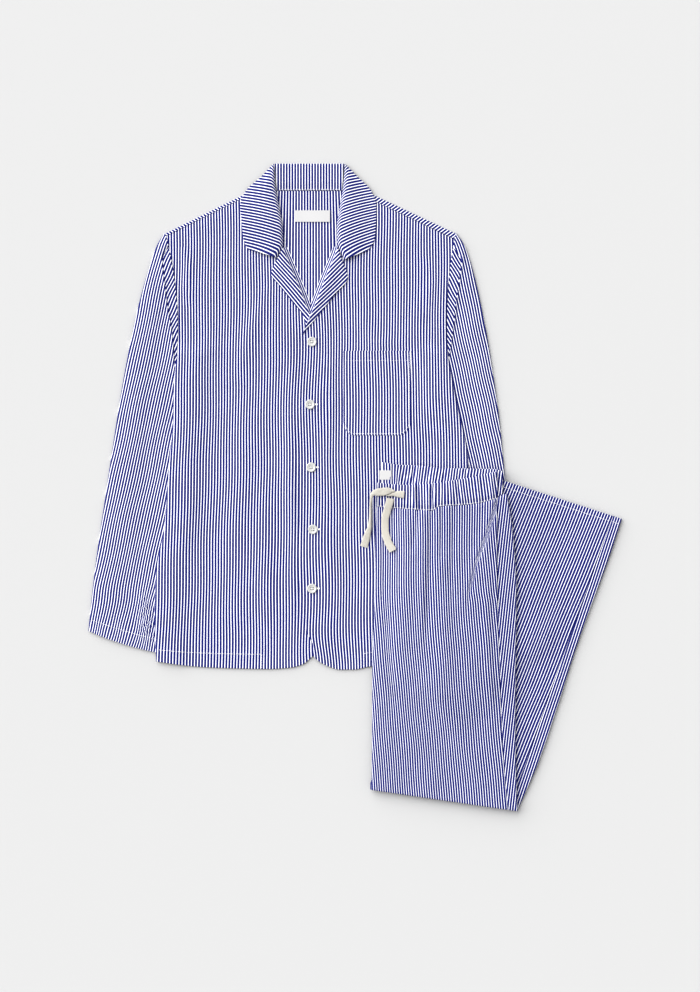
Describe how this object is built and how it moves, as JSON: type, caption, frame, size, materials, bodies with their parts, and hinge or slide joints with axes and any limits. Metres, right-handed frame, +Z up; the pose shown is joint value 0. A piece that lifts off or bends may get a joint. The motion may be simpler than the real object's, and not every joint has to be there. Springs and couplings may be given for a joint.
{
  "type": "pyjama set",
  "caption": "Striped cotton pyjama set laid flat: long-sleeved button shirt with notched collar and chest pocket, and drawstring trousers folded over its lower right.",
  "frame": {"origin": "centre of the set's footprint, on the surface that it lies on", "axes": "+X to the right of the laid-out set, +Y towards the collar, +Z up from the surface"},
  "size_m": [0.8264, 1.0025, 0.0178],
  "materials": {
    "striped_cotton": "blue and white striped poplin, plain weave, matt",
    "button_white": "off-white, softly polished",
    "label_satin": "plain white woven satin, bare",
    "cotton_tape": "cream herringbone cotton tape, matt"
  },
  "bodies": {
    "root": {"shirt_back": "striped_cotton", "shirt_front_right": "striped_cotton", "shirt_front_left": "striped_cotton", "sleeve_right": "striped_cotton", "sleeve_left": "striped_cotton", "collar_back": "striped_cotton", "collar_leaf_right": "striped_cotton", "collar_leaf_left": "striped_cotton", "lapel_right": "striped_cotton", "lapel_left": "striped_cotton", "pocket": "striped_cotton", "button_1": "button_white", "button_2": "button_white", "button_3": "button_white", "button_4": "button_white", "button_5": "button_white", "neck_label": "label_satin", "leg_left_front": "striped_cotton", "leg_left_back": "striped_cotton", "leg_right_front": "striped_cotton", "leg_right_back": "striped_cotton", "leg_upper_layers": "striped_cotton", "leg_lower_layers": "striped_cotton", "waistband_front": "striped_cotton", "waistband_back": "striped_cotton", "waist_label": "label_satin", "drawstring_right": "cotton_tape", "drawstring_left": "cotton_tape"}
  },
  "joints": []
}
